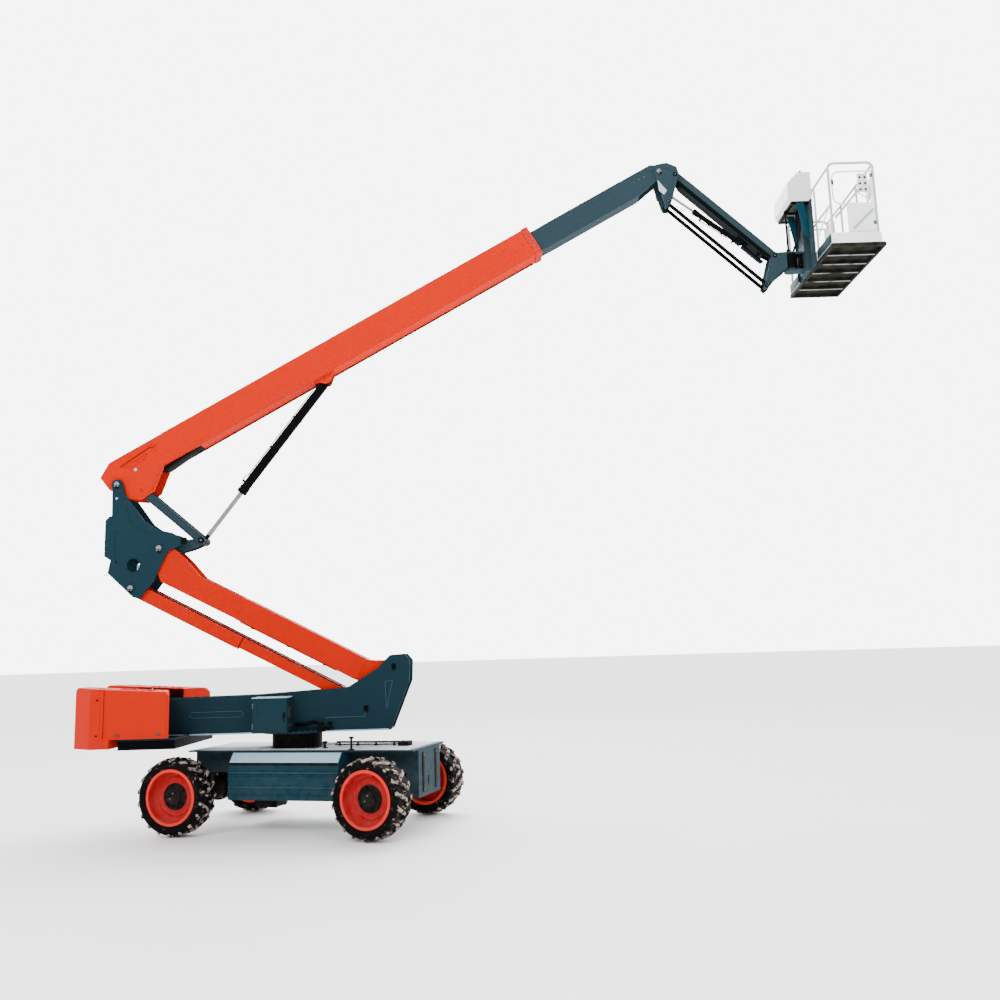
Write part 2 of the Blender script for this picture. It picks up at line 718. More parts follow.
SIDEWALL = [(0.3595, 0.138), (0.366, 0.152), (0.378, 0.158), (0.386, 0.157), (0.390, 0.166),
            (0.402, 0.177),
            (0.420, 0.1855), (0.427, 0.1865), (0.429, 0.1905), (0.437, 0.1912), (0.445, 0.1905),
            (0.447, 0.187),
            (0.460, 0.1845), (0.474, 0.177), (0.486, 0.165), (0.493, 0.150), (TREAD_RADIUS, 0.120),
            (TREAD_RADIUS + 0.001, 0.05)]


def tyre(corner):
    build = Build("detail_tyre_" + corner, "wheel_" + corner, tyre_rubber,
                  where=wheel_place(corner))
    build.lathe(SIDEWALL + [(radius, -y) for radius, y in reversed(SIDEWALL)], 108)
    build.using(lug_rubber)
    step = 360 / LUGS
    for number in range(LUGS):
        side = 1 if number % 2 else -1
        turn = number * step
        lower, upper = [], []
        for y, lean, half in ((-0.030, -1.0, 3.1), (0.075, 5.2, 3.25), (0.150, 9.5, 3.55),
                              (0.178, 11.6, 3.7)):
            drop = 0.0 if y < 0.1 else (y - 0.1) * 0.30
            for edge in (-1, 1):
                lower.append(polar(TREAD_RADIUS - 0.012 - drop * 1.5, turn + lean + edge * half,
                                   y * side))
                upper.append(polar(TYRE_RADIUS - 0.0006 - drop, turn + lean + edge * half * 0.74,
                                   y * side))
        build.bar(lower, upper, 0.005)
        foot = [polar(radius, turn + 11.8 + edge * half, y * side)
                for radius, y, half, edge in ((0.468, 0.178, 2.7, -1), (0.468, 0.178, 2.7, 1),
                                              (0.497, 0.166, 3.4, 1), (0.497, 0.166, 3.4, -1))]
        face = [polar(radius, turn + 11.8 + edge * half, y * side)
                for radius, y, half, edge in ((0.472, 0.1905, 2.2, -1), (0.472, 0.1905, 2.2, 1),
                                              (0.502, 0.1865, 2.9, 1), (0.502, 0.1865, 2.9, -1))]
        build.loft(foot, face, 0.004)
    build.done("tyre_" + corner, smooth=32)


for corner in corners:
    tyre(corner)

# %% Rims and hubs
RIM_EDGE = 0.170
DISH = 0.022


def rim(corner):
    build = Build("detail_rim_" + corner, "wheel_" + corner, rim_paint, where=wheel_place(corner))
    build.lathe([(0.338, -RIM_EDGE + 0.004), (0.347, -RIM_EDGE - 0.001), (0.366, -RIM_EDGE - 0.001),
                 (0.377, -RIM_EDGE + 0.004), (0.3775, -RIM_EDGE + 0.009),
                 (0.368, -RIM_EDGE + 0.0105),
                 (0.357, -RIM_EDGE + 0.018), (0.357, 0.152), (0.3775, 0.160), (0.3775, 0.168),
                 (0.366, RIM_EDGE), (0.338, 0.166), (0.338, 0.03)], 96)
    build.using(dish_paint)
    build.lathe([(0.338, -RIM_EDGE + 0.004), (0.332, -0.150), (0.3305, -0.100), (0.322, -0.060),
                 (0.300, -DISH - 0.012), (0.272, -DISH - 0.004), (0.262, -DISH - 0.011),
                 (0.246, -DISH - 0.012),
                 (0.236, -DISH - 0.004), (0.205, -DISH - 0.002), (0.180, -DISH - 0.016),
                 (0.120, -DISH - 0.016)], 96)
    build.lathe([(0.338, 0.03), (0.110, 0.034)], 96)
    build.using(enamel)
    build.lathe([(0.182, -DISH - 0.014), (0.181, -DISH - 0.019), (0.128, -DISH - 0.020),
                 (0.124, -0.052),
                 (0.118, -0.060), (0.104, -0.062), (0.102, -0.086), (0.096, -0.092),
                 (0.070, -0.093),
                 (0.062, -0.098), (0.034, -0.099), (0.0, -0.099)], 64)
    for number in range(10):
        at = polar(0.155, number * 36, -DISH - 0.019)
        build.bolt(at, (0, -1, 0), 0.030)
        build.rod(at, at + Vector((0, -0.026, 0)), 0.0075, 12, 0.002)
    for number in range(8):
        build.bolt(polar(0.110, number * 45 + 22.5, -0.060), (0, -1, 0), 0.014, washer=False)
    build.using(zinc_steel)
    for degrees in (90, 210):
        build.bolt(polar(0.048, degrees, -0.098), (0, -1, 0), 0.020)
    build.using(dish_paint)
    for number in range(10):
        build.rod(polar(0.222, number * 36 + 18, -DISH - 0.0065),
                  polar(0.222, number * 36 + 18, -DISH - 0.001), 0.016, 20, 0.002)
    build.using(enamel)
    build.rod(polar(0.290, 75, -DISH - 0.010), polar(0.300, 75, -0.070), 0.0055, 12)
    build.rod(polar(0.300, 75, -0.070), polar(0.302, 75, -0.082), 0.0085, 12, 0.001)
    build.done("rim_" + corner)


for corner in corners:
    rim(corner)

# %% [markdown]
# ## Chassis
#
# Under the slewing turntable there is a flat deck with tread plate, and a teal cover over each
# side whose sloping top edge is pale.  Below hang the axles with their steering rods, drive
# shafts and hoses, which a low camera can see.

# %% Deck and side covers
DECK = 1.090
NOSE_FACE, TAIL_FACE = 1.860, -1.560
COVER_FRONT, COVER_REAR = 0.862, -0.805
SHOULDER = ((0.822, 0.930), (0.704, 1.0697))


def along_cover(side, shares):
    """A point on the sloping top edge of a side cover, lifted off it by a distance."""
    share, lift = shares
    y = SHOULDER[0][0] + (SHOULDER[1][0] - SHOULDER[0][0]) * share + 0.765 * lift
    z = SHOULDER[0][1] + (SHOULDER[1][1] - SHOULDER[0][1]) * share + 0.645 * lift
    return y * side, z


build = Build("cover_top_panels", "chassis", pale_paint, where=CHASSIS)
for side in (-1, 1):
    ring = [(COVER_REAR + 0.012, *along_cover(side, at)) for at in ((0.10, 0.0), (0.97, 0.0),
                                                                    (0.97, 0.004), (0.10, 0.004))]
    build.using(pale_paint).prism(ring, (COVER_FRONT - COVER_REAR - 0.024, 0, 0), 0.0012)
    ring = [(COVER_REAR + 0.004, *along_cover(side, at)) for at in ((-0.10, -0.012), (0.07, 0.0),
                                                                    (0.07, 0.006), (-0.02, 0.006))]
    build.using(enamel).prism(ring, (COVER_FRONT - COVER_REAR - 0.008, 0, 0), 0.001)
    build.using(edge_paint)
    for z in (0.612, 0.806):
        build.flank(side, (COVER_REAR + 0.004, 0.812, z), (COVER_FRONT - 0.004, 0.8345, z + 0.010),
                    0.002)
    build.using(pale_paint)
    for number in range(5):
        x = COVER_REAR + 0.10 + number * 0.365
        y, z = along_cover(side, (0.88, 0.004))
        build.bolt((x, y, z), (0, 0.765 * side, 0.645), 0.012)
build.done()

build = Build("deck_tread", "chassis", deck_paint, where=CHASSIS)
for low, high in (((0.32, -0.60), (1.78, 0.60)), ((-1.53, -0.60), (-0.62, 0.60)),
                  ((-0.60, -0.60), (0.30, -0.41)),
                  ((-0.60, 0.41), (0.30, 0.60))):
    build.using(deck_paint).box((*low, DECK), (*high, DECK + 0.004), 0.0015)
    columns = int((high[0] - low[0]) / 0.09)
    rows = int((high[1] - low[1]) / 0.09)
    for column in range(columns):
        for row in range(rows):
            x = low[0] + 0.05 + column * 0.09
            y = low[1] + 0.05 + row * 0.09
            slant = 0.016 if (column + row) % 2 else -0.016
            build.rod((x - 0.016, y - slant, DECK + 0.0035), (x + 0.016, y + slant, DECK + 0.0035),
                      0.004, 4)
build.done()

# %% Deck fittings: cable rod, stop block and posts
build = Build("deck_fittings", "chassis", enamel, where=CHASSIS)
ROD_HEIGHT, BLOCK_TOP = DECK + 0.055, DECK + 0.068
build.using(enamel).rod((0.45, 0, ROD_HEIGHT), (1.43, 0, ROD_HEIGHT), 0.014, 20)
for x in (0.50, 0.78, 1.06, 1.34):
    build.box((x - 0.018, -0.030, DECK + 0.003), (x + 0.018, 0.030, DECK + 0.012), 0.002)
    build.box((x - 0.007, -0.022, DECK + 0.011), (x + 0.007, 0.022, ROD_HEIGHT + 0.008), 0.003)
build.box((1.42, -0.09, DECK + 0.003), (1.58, 0.09, BLOCK_TOP), 0.010)
build.using(zinc_steel)
for x in (1.445, 1.555):
    for y in (-0.06, 0.06):
        build.bolt((x, y, BLOCK_TOP), (0, 0, 1), 0.014)
for x, y, rise in ((0.95, -0.60, 0.180), (0.44, -0.36, 0.100)):
    build.using(enamel).rod((x, y, DECK + 0.003), (x, y, DECK + 0.014), 0.042, 28, 0.003)
    build.rod((x, y, DECK + 0.014), (x, y, DECK + rise - 0.030), 0.016, 20, 0.002)
    build.rod((x, y, DECK + rise - 0.030), (x, y, DECK + rise), 0.034, 28, 0.008)
    for dx, dy in around(3, 0.031):
        build.using(zinc_steel).bolt((x + dx, y + dy, DECK + 0.014), (0, 0, 1), 0.010, washer=False)
build.using(hose_rubber)
for y in (0.034, 0.052):
    build.tube([(0.40, y, DECK + 0.018), (1.10, y, DECK + 0.018), (1.34, y + 0.03, DECK + 0.018),
                (1.50, y + 0.05, DECK + 0.050)], 0.009, 0.08)
slew_centre = CHASSIS.inverted() @ Vector((spot("slew").x, 0, DECK))
build.using(zinc_steel)
for dx, dy in around(32, 0.385):
    build.bolt((slew_centre.x + dx, slew_centre.y + dy, DECK), (0, 0, 1), 0.018)
build.done()

# %% Bumper plates on the chassis ends
build = Build("chassis_brackets", "chassis", teal_paint, where=CHASSIS)
for x, way, low in ((NOSE_FACE, 1, 0.47), (TAIL_FACE, -1, 0.82)):
    build.using(enamel)
    for y in (-0.25, 0.25):
        build.box((min(x, x + way * 0.010), y - 0.035, low + 0.03),
                  (max(x, x + way * 0.010), y + 0.035, 1.03), 0.003)
    build.using(zinc_steel)
    for y in (-0.25, 0.25):
        for z in (low + 0.07, 0.99):
            build.bolt((x + way * 0.010, y, z), (way, 0, 0), 0.020)
    build.using(teal_paint)
    build.rod((x + way * 0.004, 0, low + 0.16), (x + way * 0.012, 0, low + 0.16), 0.060, 40, 0.003)
build.done()

# %% Axles: steering rods, drive shafts and hoses
build = Build("axle_hardware", "chassis", enamel, where=CHASSIS)
base = half_base
for x in (base, -base):
    build.using(enamel).lathe([(0.175, -0.05), (0.205, -0.04), (0.205, 0.04), (0.175, 0.05)], 40,
                              at=(x, 0, axle_height))
    build.using(zinc_steel)
    for dx, dz in around(12, 0.19):
        for way in (-1, 1):
            build.bolt((x + dx, way * 0.04, axle_height + dz), (0, way, 0), 0.014)
    for side in (-1, 1):
        for dx in (-0.075, 0.075):
            build.rod((x + dx, side * 0.32, axle_height - 0.13),
                      (x + dx, side * 0.32, axle_height + 0.02), 0.010, 12)
            build.bolt((x + dx, side * 0.32, axle_height - 0.13), (0, 0, -1), 0.026)
        build.using(enamel).box((x - 0.10, side * 0.32 - 0.03, axle_height - 0.125),
                                (x + 0.10, side * 0.32 + 0.03, axle_height - 0.10), 0.004)
        build.using(zinc_steel)
build.using(chrome_rod).rod((base - 0.19, -0.52, axle_height + 0.02),
                            (base - 0.19, 0.52, axle_height + 0.02), 0.016, 20)
build.using(enamel)
gear_z, gear_x = 0.40, -0.58
build.rod((gear_x + 0.20, 0, gear_z), (base - 0.20, 0, axle_height - 0.05), 0.028, 20)
build.rod((gear_x - 0.20, 0, gear_z), (-base + 0.20, 0, axle_height - 0.05), 0.028, 20)
for x, z, way in ((gear_x + 0.20, gear_z, 1), (base - 0.20, axle_height - 0.05, -1),
                  (gear_x - 0.20, gear_z, -1),
                  (-base + 0.20, axle_height - 0.05, 1)):
    build.rod((x, 0, z), (x + way * 0.05, 0, z), 0.048, 20, 0.006)
    build.rod((x + way * 0.07, -0.04, z), (x + way * 0.07, 0.04, z), 0.014, 16, 0.002)
build.using(hose_rubber)
for side in (-1, 1):
    build.tube([(base - 0.10, side * 0.10, axle_height + 0.09),
                (base - 0.22, side * 0.12, axle_height + 0.16),
                (base - 0.45, side * 0.20, 0.70), (base - 0.60, side * 0.20, 0.72)], 0.009, 0.06)
    build.tube([(-base + 0.10, side * 0.10, axle_height + 0.09),
                (-base + 0.22, side * 0.12, axle_height + 0.16),
                (-base + 0.45, side * 0.20, 0.70), (-base + 0.62, side * 0.20, 0.72)], 0.009, 0.06)
build.using(zinc_steel)
for x in (-0.72, -0.44):
    for y in (-0.13, 0.13):
        build.bolt((x, y, 0.2505), (0, 0, -1), 0.022)
build.done()

# %% [markdown]
# ## Turntable, ballast and hoods
#
# The turntable is two tall plates.  Their outer faces carry raised strips, pin ends with keeper
# plates, and a pale line along the bottom flange.  The tail's ballast and hoods get panel seams,
# latches, louvres and bolts, and the ballast has a small steel loop low at its back.

# %% Turntable plates
PLATE = 0.248
TABLE_LOW, TABLE_DECK = 1.302, 1.326


def keeper(build, x, z, y, side, radius, metal):
    """A pin's end with its keeper plate: a small bar held by two bolts."""
    centre = Vector((x, y * side, z))
    build.using(metal).rod(centre - Vector((0, 0.004 * side, 0)),
                           centre + Vector((0, 0.005 * side, 0)), radius, 28, 0.002)
    build.using(enamel).flank(side, (x - radius * 0.75, y, z - radius - 0.022),
                              (x + radius * 0.75, y + 0.010, z - radius * 0.45), 0.002)
    build.using(metal)
    for dx in (-radius * 0.5, radius * 0.5):
        build.bolt((x + dx, (y + 0.010) * side, z - radius * 0.9), (0, side, 0), 0.014)


def collar(build, at, side, outer, inner, top, foot, flare=0.004, lip=0.002, sides=36):
    """A ring round a pin, from foot to top as counted outwards; flare widens its foot."""
    x, z = at
    ring = [(outer, top * side), (outer + flare, foot * side), (inner, foot * side),
            (inner + lip, top * side)]
    build.lathe(ring + ring[:1], sides, at=(x, 0, z))


def ridge(build, outline, y, side, width, lift, closed=True):
    """A raised weld-on strip that follows a line of (x, z) points on a side face."""
    points = list(outline) + ([outline[0]] if closed else [])
    for first, second in zip(points, points[1:]):
        a, b = Vector((first[0], 0, first[1])), Vector((second[0], 0, second[1]))
        along = (b - a).normalized()
        across = Vector((-along.z, 0, along.x)) * width / 2
        a, b = a - along * width / 2, b + along * width / 2
        ring = [(p.x, y * side, p.z) for p in (a - across, b - across, b + across, a + across)]
        build.prism(ring, (0, lift * side, 0), lift * 0.35)


build = Build("turntable_trim", "turntable", teal_paint)
foot, link_foot = spot("riser_lift"), spot("tension_link_swing")
for side in (-1, 1):
    build.using(pale_paint).flank(side, (-2.76, PLATE, TABLE_LOW + 0.002),
                                  (1.20, PLATE + 0.006, TABLE_LOW + 0.020), 0.002)
    build.using(edge_paint)
    slot_line = [(-1.66, 1.585), (-1.62, 1.625), (-0.92, 1.625), (-0.88, 1.585), (-0.92, 1.545),
                 (-1.62, 1.545)]
    ridge(build, slot_line, PLATE, side, 0.007, 0.003)
    ridge(build,
          [(foot.x - 0.13, foot.z - 0.22), (foot.x - 0.11, foot.z - 0.60),
           (foot.x - 0.02, foot.z - 0.20)],
          PLATE, side, 0.007, 0.003)
    ridge(build, [(0.30, 1.50), (0.86, 1.50), (0.86, 1.60)], PLATE, side, 0.010, 0.005,
          closed=False)
    for at in (foot, link_foot):
        keeper(build, at.x, at.z, PLATE + 0.014, side, 0.034, enamel)
    build.using(teal_paint)
    collar(build, (foot.x, foot.z), side, 0.075, 0.045, PLATE + 0.008, PLATE - 0.001 * side, 0.0,
           0.0)
    build.using(zinc_steel)
    for x in (-2.68, -2.50, -2.32, -2.14, -1.96):
        build.bolt((x, side * PLATE, 1.40), (0, side, 0), 0.018)
build.done()

# %% Slewing drive and fittings above the ring
build = Build("slew_fittings", "turntable", enamel)
slew_x = spot("slew").x
build.using(zinc_steel)
for dx, y in around(36, 0.475, 5):
    build.bolt((slew_x + dx, y, TABLE_DECK), (0, 0, 1), 0.018)
for x, y, size in ((slew_x + 0.40, -0.33, 0.060), (slew_x + 0.52, -0.29, 0.040)):
    build.using(enamel).rod((x, y, TABLE_DECK + 0.001), (x, y, TABLE_DECK + 0.060), size, 24, 0.004)
    build.rod((x, y, TABLE_DECK + 0.060), (x, y, TABLE_DECK + 0.120), size * 0.72, 24, 0.006)
    for dx, dy in around(6, size * 0.82):
        build.using(zinc_steel).bolt((x + dx, y + dy, TABLE_DECK + 0.060), (0, 0, 1), 0.009,
                                     washer=False)
build.using(hose_rubber)
for number, rise in enumerate((0.07, 0.09, 0.11)):
    y = -0.30 - number * 0.018
    build.tube([(slew_x + 0.40, y, TABLE_DECK + 0.10), (slew_x + 0.30, y, TABLE_DECK + rise + 0.03),
                (slew_x + 0.18, y, TABLE_DECK + rise), (slew_x + 0.02, -0.256, TABLE_DECK + rise)],
                0.008, 0.05)
build.done()

# %% Ground controls
build = Build("ground_controls", "turntable", teal_paint)
low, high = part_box("control_box")
build.using(teal_paint).box((low.x + 0.014, low.y - 0.010, low.z + 0.03),
                            (high.x - 0.014, low.y - 0.0005, high.z - 0.03), 0.006)
face = low.y - 0.010
ring = [(low.x + 0.06, low.z + 0.07), (high.x - 0.06, low.z + 0.07), (high.x - 0.06, high.z - 0.07),
        (low.x + 0.06, high.z - 0.07)]
ridge(build, ring, -face, -1, 0.010, 0.003)
build.using(zinc_steel)
for z in (low.z + 0.10, high.z - 0.10):
    build.rod((low.x + 0.010, face, z - 0.035), (low.x + 0.010, face, z + 0.035), 0.008, 16, 0.001)
build.using(enamel).box((high.x - 0.052, face - 0.013, low.z + 0.20),
                        (high.x - 0.028, face + 0.001, low.z + 0.28), 0.004)
build.rod((high.x - 0.040, face - 0.012, low.z + 0.17),
          (high.x - 0.040, face + 0.001, low.z + 0.17), 0.010, 20, 0.002)
build.using(pale_paint).box((low.x - 0.008, low.y - 0.014, high.z + 0.0005),
                            (high.x + 0.008, high.y - 0.01, high.z + 0.014), 0.005)
build.using(zinc_steel)
for x in (low.x + 0.03, high.x - 0.03):
    for y in (low.y + 0.04, high.y - 0.05):
        build.bolt((x, y, high.z + 0.014), (0, 0, 1), 0.012)
build.using(black_plastic)
for number in range(4):
    y = low.y + 0.07 + number * 0.050
    build.rod((high.x - 0.0005, y, low.z + 0.10), (high.x + 0.012, y, low.z + 0.10), 0.014, 20,
              0.002)
    build.rod((high.x + 0.010, y, low.z + 0.10), (high.x + 0.030, y, low.z + 0.104), 0.004, 12,
              0.001)
build.box((high.x - 0.0005, low.y + 0.05, low.z + 0.20),
          (high.x + 0.010, low.y + 0.25, low.z + 0.36), 0.004)
build.done()

# %% Ballast
TAIL_REAR, TAIL_HALF = -3.110, 0.920
build = Build("ballast_trim", "turntable", weight_paint)
for side in (-1, 1):
    for x in (-2.98, -2.74):
        build.using(weight_paint).lathe([(0.0, 0.0), (0.05, 0.0), (0.05, 0.004), (0.0, 0.008)], 28,
                                        axis="z",
                             at=(x, side * 0.66, 2.016))
    ridge(build, [(-2.665, 1.26), (-2.665, 1.975)], TAIL_HALF, side, 0.012, 0.004, closed=False)
    build.using(enamel)
    for z in (1.38, 1.86):
        build.stud(side, -2.705, z, 0.919, 0.924, 0.014, 24, 0.002)
    build.using(black_plastic).box((TAIL_REAR - 0.008, side * 0.48 - 0.07, 1.36),
                                   (TAIL_REAR + 0.001, side * 0.48 + 0.07, 1.42), 0.003)
    build.using(weight_paint)
    for row in range(6):
        z = 1.52 + row * 0.05
        build.prism([(TAIL_REAR, side * 0.62, z), (TAIL_REAR - 0.009, side * 0.62, z + 0.003),
                     (TAIL_REAR, side * 0.62, z + 0.024)], (0, -side * 0.28, 0), 0.001)
build.using(enamel).box((TAIL_REAR - 0.004, -0.15, 1.225), (TAIL_REAR + 0.001, 0.15, 1.275), 0.003)
build.using(zinc_steel).tube([(TAIL_REAR, -0.045, 1.25), (TAIL_REAR - 0.055, -0.045, 1.25),
                              (TAIL_REAR - 0.055, 0.045, 1.25),
                     (TAIL_REAR, 0.045, 1.25)], 0.012, 0.03)
for y in (-0.62, -0.40, 0.40, 0.62):
    build.using(zinc_steel).bolt((TAIL_REAR + 0.001, y, 1.26), (-1, 0, 0), 0.026)
build.done()

# %% Hoods: seams, vents and latches
HOOD_NOSE = -1.718


def hood_top(x):
    return 1.940 + (x - HOOD_NOSE) * (2.030 - 1.940) / (TAIL_REAR - HOOD_NOSE)


for hand, side in (("right", -1), ("left", 1)):
    body = "hood_" + hand
    build = Build(body + "_trim", body, weight_paint)
    build.using(weight_paint)
    ridge(build, [(-1.752, 1.352), (-1.752, 1.862), (-1.800, 1.915)], TAIL_HALF, side, 0.010, 0.003,
          closed=False)
    ridge(build, [(-2.590, 1.352), (-2.590, 1.975)], TAIL_HALF, side, 0.008, 0.003, closed=False)
    ridge(build, [(-2.560, 1.352), (-1.752, 1.352)], TAIL_HALF, side, 0.010, 0.003, closed=False)
    build.using(black_plastic)
    for x in (-2.42, -1.86):
        build.flank(side, (x - 0.034, TAIL_HALF, 1.366), (x + 0.034, TAIL_HALF + 0.008, 1.392),
                    0.003)
    build.using(weight_paint)
    for number in range(5):
        x = -2.48 + number * 0.10
        z = hood_top(x)
        build.prism([(x, side * 0.44, z - 0.001), (x + 0.04, side * 0.44, z + 0.009),
                     (x + 0.045, side * 0.44, z - 0.001)],
                    (0, side * 0.34, 0), 0.0015)
    for x, y in ((-2.56, 0.38), (-2.56, 0.88), (-2.00, 0.40), (-1.82, 0.86)):
        build.bolt((x, side * y, hood_top(x) - 0.001), (0, 0, 1), 0.012)
    build.done()

# %% [markdown]
# ## Riser, tension link and upright
#
# The riser is a welded box on thick cheeks, so it gets weld beads, pin keepers and clamps with
# hydraulic lines.  The tension link has a narrow dark plate on each side.  The upright's side
# plates have pin ends at each pivot, a bushed hole and a rubber stop each.

# %% Riser
riser_length = (spot("riser_lift") - spot("upright_level")).length
BEAM_TOP, BEAM_LOW, BEAM_HALF = -0.096, -0.420, 0.180


def weld(build, points, radius=0.0045):
    build.tube(points, radius, 0.02, 8)


build = Build("riser_trim", "riser", riser_paint, where=RISER)
for side in (-1, 1):
    build.using(riser_paint)
    for z in (BEAM_TOP, BEAM_LOW):
        weld(build, [(1.50, side * BEAM_HALF, z), (riser_length - 0.42, side * BEAM_HALF, z)])
    weld(build,
         [(1.50, side * (BEAM_HALF + 0.0005), BEAM_TOP),
          (1.50, side * (BEAM_HALF + 0.0005), BEAM_LOW)])
    weld(build,
         [(riser_length - 0.40, side * (BEAM_HALF + 0.0005), BEAM_TOP),
          (riser_length - 0.40, side * (BEAM_HALF + 0.0005), BEAM_LOW)])
    collar(build, (0, 0), side, 0.098, 0.086, BEAM_HALF + 0.0015, BEAM_HALF - 0.001, sides=40)
build.using(enamel)
for x in (1.75, 2.35, 2.95):
    build.box((x - 0.02, -0.06, BEAM_LOW - 0.014), (x + 0.02, 0.06, BEAM_LOW - 0.0005), 0.003)
    build.using(zinc_steel).bolt((x, 0, BEAM_LOW - 0.014), (0, 0, -1), 0.014).using(enamel)
build.using(hose_rubber)
for y in (-0.034, -0.012, 0.012, 0.034):
    build.tube([(1.55, y, BEAM_LOW - 0.022), (3.15, y, BEAM_LOW - 0.022)], 0.008)
build.using(enamel)
for x in (1.75, 2.35, 2.95):
    build.box((x - 0.016, -0.052, BEAM_LOW - 0.036), (x + 0.016, 0.052, BEAM_LOW - 0.029), 0.002)
build.done()

# %% Tension link
build = Build("tension_link_trim", "tension_link", riser_paint, where=LINK)
for side in (-1, 1):
    build.using(enamel)
    build.flank(side, (1.815, 0.096, -0.095), (1.827, 0.1605, 0.095), 0.002)
    build.tube([(0.18, side * 0.140, 0.1065), (riser_length - 0.45, side * 0.140, 0.0925)], 0.0085)
    build.using(riser_paint)
    weld(build, [(0.10, side * 0.158, 0.094), (riser_length - 0.10, side * 0.158, 0.0755)], 0.004)
    for x in (0.0, riser_length):
        collar(build, (x, 0), side, 0.066, 0.046, 0.1625, 0.1575)
build.done()

# %% Upright
CHEEK = 0.214
boom_pivot = UPRIGHT.inverted() @ spot("boom_lift")
link_top = UPRIGHT.inverted() @ LINK_TOP
build = Build("upright_trim", "upright", teal_paint, where=UPRIGHT)
for side in (-1, 1):
    for x, z in ((0, 0), (link_top.x, link_top.z), (boom_pivot.x, boom_pivot.z)):
        keeper(build, x, z, CHEEK + 0.014, side, 0.040, chrome_rod)
        build.using(teal_paint)
        collar(build, (x, z), side, 0.070, 0.045, CHEEK + 0.010, CHEEK - 0.001, lip=0.0)
    collar(build, (-0.376, -0.240), side, 0.112, 0.101, CHEEK + 0.007, CHEEK - 0.001, lip=0.0,
           sides=44)
    build.using(pale_paint)
    x, z = boom_pivot.x + 0.006, boom_pivot.z - 0.215
    build.stud(side, x, z, (CHEEK - 0.001), (CHEEK + 0.010), 0.019, 24, 0.003)
    build.using(enamel).stud(side, -0.630, -0.185, (CHEEK - 0.001), (CHEEK + 0.006), 0.014, 20,
                             0.002)
    build.using(tyre_rubber).flank(side, (0.325, 0.186, 0.045), (0.405, 0.232, 0.150), 0.010)
    build.using(teal_paint)
    ridge(build, [(-0.660, 0.30), (-0.660, -0.14)], CHEEK, side, 0.012, 0.006, closed=False)
    ridge(build, [(-0.500, 0.62), (-0.440, 0.40), (-0.240, 0.26), (-0.060, 0.19)], CHEEK, side,
          0.010, 0.005, closed=False)
build.using(pale_paint).rod((-0.330, -0.090, -0.262), (-0.330, 0.090, -0.262), 0.036, 28, 0.004)
build.done()

# %% [markdown]
# ## Booms and cylinders
#
# The main boom is the longest piece, so its side must not look empty: a pressed L-shaped ridge
# and two pin caps at its base, a dark wedge below it, weld beads on its corners, and
# bolts that hold the wear pads at its collar.  The toggle, the cylinders and the slimmer booms
# carry pin keepers, ports and hard lines.

# %% Main boom
BOOM_LOW, BOOM_HIGH, BOOM_HALF = -0.082, 0.370, 0.165
boom_end = 7.360
build = Build("boom_trim", "main_boom", boom_paint, where=BOOM)
for side in (-1, 1):
    build.using(boom_paint)
    for z in (BOOM_LOW, BOOM_HIGH):
        weld(build, [(0.92, side * BOOM_HALF, z), (boom_end - 0.115, side * BOOM_HALF, z)])
    ridge(build, [(0.14, 0.240), (0.66, 0.285), (0.74, 0.250), (0.72, 0.190)], BOOM_HALF, side,
          0.022, 0.012, closed=False)
    ridge(build, [(0.20, 0.190), (0.58, 0.205), (0.52, 0.150), (0.28, 0.135)], BOOM_HALF, side,
          0.014, 0.009)
    ridge(build, [(0.30, -0.330), (0.42, -0.315), (0.66, -0.105)], BOOM_HALF, side, 0.014, 0.006,
          closed=False)
    build.using(enamel)
    ridge(build, [(0.15, 0.222), (0.66, 0.266), (0.71, 0.240)], BOOM_HALF, side, 0.006, 0.004,
          closed=False)
    build.using(pale_paint)
    build.stud(side, 0.330, 0.075, (BOOM_HALF - 0.001), (BOOM_HALF + 0.006), 0.024, 28, 0.003)
    build.using(riser_paint).stud(side, 0.256, -0.243, (BOOM_HALF - 0.001), (BOOM_HALF + 0.006),
                                  0.026, 28, 0.003)
    build.using(zinc_steel)
    for x in (7.285, 7.325):
        for z in (-0.02, 0.06, 0.145, 0.23, 0.31):
            build.bolt((x, side * (BOOM_HALF + 0.014), z), (0, side, 0), 0.018)
    build.using(wear_pad).flank(side, (boom_end - 0.001, 0.129, 0.0),
                                (boom_end + 0.010, 0.155, 0.23), 0.002)
    build.using(boom_paint)
    collar(build, (3.469, -0.138), side, 0.066, 0.040, 0.0975, 0.095, sides=32)
build.using(zinc_steel)
for x in (7.285, 7.325):
    for y in (-0.08, 0.0, 0.08):
        build.bolt((x, y, BOOM_HIGH + 0.014), (0, 0, 1), 0.018)
        build.bolt((x, y, BOOM_LOW - 0.014), (0, 0, -1), 0.018)
build.using(enamel)
for side in (-1, 1):
    for x in (3.30, 3.64):
        weld(build, [(x, side * 0.070, BOOM_LOW - 0.001), (x, side * 0.096, BOOM_LOW - 0.001)])
build.prism([(0.62, -0.120, -0.0825), (0.72, -0.120, -0.142), (0.96, -0.120, -0.118),
             (1.34, -0.120, -0.0825)], (0, 0.240, 0), 0.006)
build.done()

# %% Hard lines under the main boom, with their clamps
build = Build("boom_lines", "main_boom", enamel, where=BOOM)
for y in (0.120, 0.140):
    build.using(enamel).tube([(0.98, y, BOOM_LOW - 0.012), (boom_end - 0.16, y, BOOM_LOW - 0.012)],
                             0.006)
build.using(zinc_steel)
for number in range(7):
    x = 1.15 + number * 0.96
    build.box((x - 0.012, 0.108, BOOM_LOW - 0.020), (x + 0.012, 0.152, BOOM_LOW + 0.001), 0.003)
    build.bolt((x, 0.130, BOOM_LOW - 0.020), (0, 0, -1), 0.010)
build.done()

